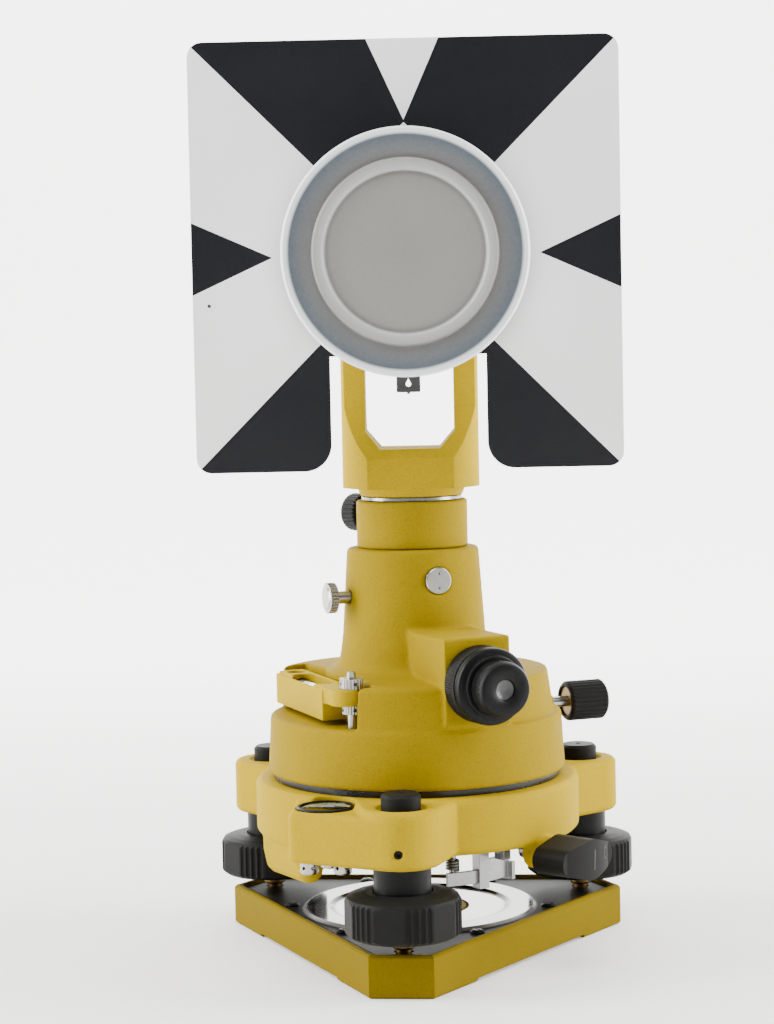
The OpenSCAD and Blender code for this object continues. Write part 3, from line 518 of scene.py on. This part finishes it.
def dome(radius, z0, z1, rise, rings=8):
    """A disc with a shallow domed top."""
    outline = [(0, z0), (radius, z0), (radius, z1 - rise)]
    for i in range(1, rings + 1):
        t = 1 - i / rings
        outline.append((radius * t, z1 - rise * t * t))
    return outline


def fit_out(obj, body, made, *replaced):
    wear(obj, made)
    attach(obj, body)
    if replaced:
        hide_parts(*replaced)


level_frame = upright(level_axis, level_top)
level_dome = 0.35 * mm
spirit_shape = dome(level_radius, -6.5 * mm, -0.6 * mm, level_dome)
fit_out(
    turned_piece("level_spirit", spirit_shape, level_frame, closed=False),
    "leveller", spirit, "level_glass",
)
cover_shape = dome(level_radius - 0.2 * mm, -0.5 * mm, 0, level_dome)
fit_out(
    turned_piece("level_cover_glass", cover_shape, level_frame, closed=False),
    "leveller", clear_glass,
)
bubble_r = 2.3 * mm
circle_r = 3.1 * mm
circle_shape = ring_of(circle_r, circle_r + 0.35 * mm, -0.8 * mm, -0.52 * mm, 0.05 * mm)
fit_out(turned_piece("level_circle", circle_shape, level_frame), "leveller", level_black)
bubble_frame = level_frame @ Matrix.Translation((0.7 * mm, -0.4 * mm, 0))
bubble_shape = ring_of(bubble_r - 0.5 * mm, bubble_r, -0.8 * mm, -0.5 * mm, 0.12 * mm)
fit_out(turned_piece("level_bubble", bubble_shape, bubble_frame), "leveller", level_white)


# ---- Clamp ----
# A bright steel ring under the levelling body locks the flange's three pins.
# A steel shaft turns it from outside, with a winged black lever on its end. A coil spring sits
# on a post beside the stop.

bright_steel = finish(
    "bright_steel", bare_metal, metal_look((0.22, 0.22, 0.215), (0.46, 0.46, 0.45), 1000, 0.2),
)
wear_node(bright_steel, "clamp_ring", "clamp_spring", "clamp_shaft")
wear_node(moulded_black, "clamp_lever")

lever_angle = base_turn - math.radians(36)
lever_face = 74.7 * mm
face_bulge = 32 * mm
mark_height = 0.06 * mm
stroke_depth = 0.3 * mm
lever_middle = centre_of("clamp_lever")[2]
lever_out = Vector((math.cos(lever_angle), math.sin(lever_angle), 0))
lever_side = Vector((-lever_out[1], lever_out[0], 0))


def on_lever(side, height):
    """A point just proud of the lever's bulged outer face."""
    reach = lever_face - face_bulge + math.sqrt(face_bulge ** 2 - side ** 2) + mark_height
    return reach * lever_out + side * lever_side + Vector((0, 0, lever_middle + height))


def engraved_stroke(name, path, width):
    """A flat stroke along a path of (side, height) points on the lever's face."""
    points, faces = [], []
    for i, (side, height) in enumerate(path):
        before, after = path[max(i - 1, 0)], path[min(i + 1, len(path) - 1)]
        run = Vector((after[0] - before[0], after[1] - before[1])).normalized() * width / 2
        for k in (-1, 1):
            point = on_lever(side - k * run[1], height + k * run[0])
            points += [point, point - stroke_depth * lever_out]
    for i in range(len(path) - 1):
        a = 4 * i
        faces += [
            (a, a + 2, a + 6, a + 4), (a + 1, a + 5, a + 7, a + 3),
            (a, a + 4, a + 5, a + 1), (a + 2, a + 3, a + 7, a + 6),
        ]
    end = 4 * (len(path) - 1)
    faces += [(0, 1, 3, 2), (end, end + 2, end + 3, end + 1)]
    obj = mesh_of(name, points, faces)
    fit_out(obj, "clamp_handle", level_black)


index_stroke = [(1.4 * mm, 3.1 * mm), (1.0 * mm, -3.4 * mm)]
turn_arc = [
    ((8.4 + 0.9 * math.cos(a)) * mm, (1.0 + 2.0 * math.sin(a)) * mm)
    for a in (math.radians(70 + 20 * i) for i in range(12))
]
turn_tick = [(8.9 * mm, 3.4 * mm), (8.5 * mm, 2.4 * mm), (9.4 * mm, 2.2 * mm)]
engraved_stroke("lever_index", index_stroke, 0.55 * mm)
engraved_stroke("lever_turn_mark", turn_arc, 0.4 * mm)
engraved_stroke("lever_turn_tick", turn_tick, 0.4 * mm)


# ---- Flange ----
# The dark anodised foot of the carrier, and three steel pins that drop into the levelling body.

def flange_look(s):
    place = s.place()
    film = s.noise(place, 120, 3, 0.6)
    return {
        "Base Color": s.mix(film, (0.008, 0.008, 0.009), (0.03, 0.03, 0.03)),
        "Roughness": 0.16 + 0.2 * film,
        "Normal": s.bump(film, 0.00002, 0.3, 0.0003),
    }


wear_node(finish("dark_anodised", {"Metallic": 0.6}, flange_look), "flange")
wear_node(bright_steel, "flange_pins")


# ---- Carrier ----
# The turning casting: a disc, a platform, a tapered tower and the optical plummet's box in one.
# It turns on the flange's axle and is painted like the rest.

carrier_turn = math.radians(22)
shaded_paint = finish("shaded_gold_paint", paint_gloss, paint_look(0.58))
cast_skin("carrier", "alidade", 0.6 * mm, 5, shaded_paint)


# ---- Optical plummet ----
# A prism and a lens inside the carrier turn the view down through the axle.
# A knurled black focus ring and a black eyepiece stand out of the box's front.

plummet_angle = carrier_turn + math.radians(3 - 90)
wear_node(clear_glass, "plummet_prism", "plummet_lens")


def lying(centre, angle):
    """A frame whose Z axis lies level at the given angle and whose X axis points up."""
    along = Vector((math.cos(angle), math.sin(angle), 0))
    rise = Vector((0, 0, 1))
    axes = Matrix((rise, along.cross(rise), along)).transposed().to_4x4()
    return Matrix.Translation(centre) @ axes


tube_height = centre_of("plummet_prism")[2]
drum_start = 49.8 * mm
drum_frame = lying((0, 0, tube_height), plummet_angle) @ Matrix.Translation((0, 0, drum_start))


def in_mm(rows):
    return [(r * mm, z * mm, *ribbed) for r, z, *ribbed in rows]


drum_ribs = 108
drum_shape = in_mm([
    (5.5, -13.6), (7.4, -13.6), (7.4, 0.1), (12.0, 0.1), (12.5, 0.4), (12.68, 0.9, 1),
    (12.68, 6.4, 1), (12.3, 6.8), (11.6, 6.8), (11.6, 7.7), (12.3, 7.8), (12.6, 8.2),
    (12.6, 10.0), (12.2, 10.7), (11.3, 11.0), (10.4, 11.0), (10.2, 11.2), (10.2, 12.2),
    (9.9, 12.5), (5.5, 12.5),
])
fit_out(
    turned_piece("focus_drum", drum_shape, drum_frame, 4 * drum_ribs, drum_ribs, 0.32 * mm),
    "focus", anodised_black, "focus_ring",
)
inlay_shape = ring_of(11.55 * mm, 11.9 * mm, 6.9 * mm, 7.6 * mm, 0.1 * mm)
fit_out(turned_piece("focus_inlay", inlay_shape, drum_frame), "focus", turned_brass)
eye_frame = drum_frame @ Matrix.Translation((0, 0, 12.6 * mm))
eye_ribs = 90
eye_shape = in_mm([
    (3.6, -7.6), (5.4, -7.6), (5.4, 0.05), (8.7, 0.05), (9.05, 0.5, 1), (9.05, 5.7, 1),
    (8.85, 6.6, 1), (8.3, 7.25), (7.7, 7.45), (4.0, 7.5), (3.4, 7.1), (3.2, 6.4),
    (3.2, 5.0), (3.6, 4.6),
])
fit_out(
    turned_piece("eyepiece_drum", eye_shape, eye_frame, 4 * eye_ribs, eye_ribs, 0.22 * mm),
    "ocular", anodised_black, "eyepiece",
)


def coated_look(s):
    haze = s.noise(s.place(), 260, 3, 0.6)
    return {
        "Base Color": s.mix(haze, (0.05, 0.052, 0.052), (0.10, 0.103, 0.10)),
        "Roughness": 0.1 + 0.2 * haze,
    }


coated_lens = finish("coated_lens", {"Specular IOR Level": 0.2}, coated_look)
lens_shape = in_mm([
    (0, 4.9), (3.15, 4.9), (3.15, 6.3), (2.9, 6.2), (2.2, 5.85), (1.2, 5.6), (0, 5.5),
])
fit_out(
    turned_piece("eyepiece_glass", lens_shape, eye_frame, closed=False),
    "ocular", coated_lens, "eyepiece_lens",
)


# ---- Cover disc, thumb screw and brake ----
# A nickel-plated cover closes the tower's front hole, beside a knurled thumb screw.
# The brake is a bright stem through a boss, a brass washer and a fluted black knob.

wear_node(nickel, "cover_disc", "thumb_screw", "brake_stem")
wear_node(turned_brass, "brake_washer")
wear_node(moulded_black, "brake_knob")


# ---- Level bar ----
# A small painted casting that holds the tube level, screwed down at its back.
# Two plated nuts on a stud clamp its nose. The vial is a ground glass tube with ringed marks.

cast_skin("level_bar", "alidade", 0.28 * mm, 4, gold_paint)
wear_node(nickel, "bar_screw", "level_stud", "nut_upper", "nut_lower")
vial_lo, vial_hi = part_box("bar_vial")
vial_radius = (vial_hi[2] - vial_lo[2]) / 2
vial_half = 15.3 * mm
bore_radius = vial_radius - 0.45 * mm
vial_frame = lying(centre_of("bar_vial"), carrier_turn + math.pi / 2)
vial_end = 0.6 * mm


def tube_look(s):
    tint = s.noise(s.place(), 400, 2)
    return {"Base Color": s.mix(tint, (0.60, 0.63, 0.55), (0.70, 0.73, 0.65))}


tube_shape = [
    (bore_radius, -vial_half), (vial_radius - vial_end, -vial_half),
    (vial_radius, vial_end - vial_half), (vial_radius, vial_half - vial_end),
    (vial_radius - vial_end, vial_half), (bore_radius, vial_half),
]
fit_out(
    turned_piece("bar_glass", tube_shape, vial_frame), "alidade", clear_glass, "bar_vial",
)
spirit_radius = bore_radius - 0.05 * mm
filling_shape = [
    (0, -vial_half), (spirit_radius, -vial_half), (spirit_radius, vial_half), (0, vial_half),
]
bar_spirit = finish("bar_spirit", {"Roughness": 0.1, "Specular IOR Level": 0.5}, tube_look)
fit_out(
    turned_piece("bar_spirit", filling_shape, vial_frame, closed=False), "alidade", bar_spirit,
)
line_radius = vial_radius + 0.06 * mm
line_width = 0.4 * mm
for number, offset in enumerate((-6.4, -4.4, 4.4, 6.4)):
    start = offset * mm - line_width / 2
    line_shape = ring_of(vial_radius, line_radius, start, start + line_width, 0.02 * mm)
    fit_out(
        turned_piece("bar_line_%d" % number, line_shape, vial_frame), "alidade", level_black,
    )
bubble_up = 1.55 * mm
bubble_half = 4.2 * mm
bubble_thick = 1.1 * mm
bubble_steps = [step / 10 for step in range(-10, 11)]
bar_bubble_shape = [
    (bubble_thick * math.sqrt(max(0, 1 - t ** 4)), bubble_half * t) for t in bubble_steps
]
bar_bubble_frame = vial_frame @ Matrix.Translation((bubble_up, 0, 0))
fit_out(
    turned_piece("bar_bubble", bar_bubble_shape, bar_bubble_frame, closed=False),
    "alidade", level_white,
)


# ---- Collar ----
# A painted collar slides on a steel spigot that stands in the tower. A black knob clamps it.
# A plated lock ring lies between the collar and the yoke's boss.

wear_node(bright_steel, "spigot", "collar_screw", "lock_ring")
wear_node(shaded_paint, "collar")
wear_node(anodised_black, "collar_knob")


# ---- Yoke ----
# A turned and milled fork, painted gold-yellow, that carries the reflector between its arms.
# Two black knurled screws are the tilt axis and its clamps.

wear_node(gold_paint, "yoke")
wear_node(moulded_black, "tilt_screw_left", "tilt_screw_right")


# ---- Reflector ----
# A black housing around a glass corner cube, closed in front by a bezel ring.
# A small black sight with a keyhole hangs under it, between the arms.

housing_grey = finish(
    "housing_grey", {"Specular IOR Level": 0.45},
    plastic_look((0.02, 0.02, 0.02), (0.035, 0.035, 0.035), 0.4),
)
wear_node(housing_grey, "housing", "bezel", "sight")
prism_glass = finish("prism_glass", {
    "Base Color": (0.98, 1.0, 0.99),
    "Roughness": 0.0,
    "Transmission Weight": 1.0,
    "IOR": 1.52,
})
wear_node(prism_glass, "corner_cube")


# ---- Target plate ----
# A sheet of aluminium, enamelled white, with black sighting wedges printed on its front.
# Four small screws hold it to the back of the housing.

plate_lo, plate_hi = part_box("target_plate")
plate_middle = (Vector(plate_lo) + Vector(plate_hi)) / 2
plate_half = (plate_hi[0] - plate_lo[0]) / 2
plate_thick = plate_hi[1] - plate_lo[1]
tip_reach = 44.3 * mm
mark_apex = 43.6 * mm
wedge_half = 12 * mm
front_skin = 0.15 * mm
chip_place = (-65.5 * mm, -0.75 * mm, -15.5 * mm)


def target_look(s):
    middle = tuple(plate_middle)
    place = s.node("VectorMath", {"operation": "SUBTRACT"}, {0: s.place(), 1: middle})
    x, y, z = (s.node("SeparateXYZ", {}, {0: place}, axis) for axis in range(3))
    front = y < (front_skin - plate_thick / 2)
    ax, az = abs(x), abs(z)
    quarters = az > ax
    slope = wedge_half / (plate_half - tip_reach)
    top_wedge = ((z - tip_reach) * slope - ax) > 0
    side_wedge = ((ax - tip_reach) * slope - az) > 0
    top_mark = (mark_apex - z) > ax
    dark_quarters = quarters * (1 - top_wedge) * (1 - top_mark * (z > 0))
    black = s.math("MAXIMUM", dark_quarters, side_wedge) * front
    chip = s.node("VectorMath", {"operation": "DISTANCE"}, {0: place, 1: chip_place}, "Value")
    grime = s.noise(s.place(), 45, 4, 0.65)
    fleck = s.noise(s.place(), 2400, 2)
    white = s.mix(grime, (0.86, 0.87, 0.86), (0.94, 0.95, 0.94))
    ink = s.mix(fleck, (0.004, 0.004, 0.006), (0.011, 0.011, 0.014))
    chipped = chip < s.noise(s.place(), 700, 3, 0.7) * 0.0009 + 0.0002
    printed = s.mix(black, white, ink)
    return {
        "Base Color": s.mix(chipped, printed, (0.03, 0.03, 0.03)),
        "Roughness": 0.3 + 0.15 * grime,
        "Normal": s.bump(fleck, 0.00002, 0.25, 0.0003),
    }


wear_node(finish("target_enamel", {"Specular IOR Level": 0.3}, target_look), "target_plate")
wear_node(nickel, "target_screws")


# ---- Dust cap ----
# A milky polyethylene cap pushed over the front of the housing, with a raised ring on its face.
# The greys where the dark glass and bezel show through the thin face are painted into its colour by
# radius, with painted shade beside the raised ring and a painted highlight on it.

cap_lo, cap_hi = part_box("dust_cap")
cap_axis_z = (cap_lo[2] + cap_hi[2]) / 2
cap_radius = 40.2 * mm


def cap_painted_light_look(s):
    middle = (0.0, 0.0, cap_axis_z)
    place = s.node("VectorMath", {"operation": "SUBTRACT"}, {0: s.place(), 1: middle})
    flat = s.node("VectorMath", {"operation": "MULTIPLY"}, {0: place, 1: (1.0, 0.0, 1.0)})
    radius = s.node("VectorMath", {"operation": "LENGTH"}, {0: flat}, "Value")
    # Painted light by radius: warm grey in the middle and blue-grey further out where the dark
    # glass and bezel show through, painted shade in the dark bands on each side of the raised ring,
    # the ring paler partly from its thicker plastic and partly as a painted highlight, and a
    # near-white outer rim.
    tone = s.node("ValToRGB", {"stops": [
        (0.0, (0.205, 0.20, 0.185)),
        (0.60, (0.225, 0.22, 0.20)),
        (0.635, (0.16, 0.155, 0.145)),
        (0.65, (0.42, 0.42, 0.40)),
        (0.725, (0.30, 0.30, 0.285)),
        (0.75, (0.14, 0.135, 0.13)),
        (0.86, (0.10, 0.11, 0.12)),
        (0.93, (0.06, 0.08, 0.10)),
        (0.955, (0.80, 0.82, 0.83)),
        (1.0, (0.85, 0.87, 0.87)),
    ]}, {0: radius / cap_radius})
    haze = s.noise(s.place(), 900, 3, 0.6)
    return {
        "Base Color": s.mix(haze * 0.12, tone, (0.5, 0.5, 0.5)),
        "Roughness": 0.25 + 0.2 * haze,
        "Normal": s.bump(haze, 0.00004, 0.3, 0.0005),
    }


wear_node(finish("milky_polyethylene", {"Specular IOR Level": 0.4}, cap_painted_light_look), "dust_cap")
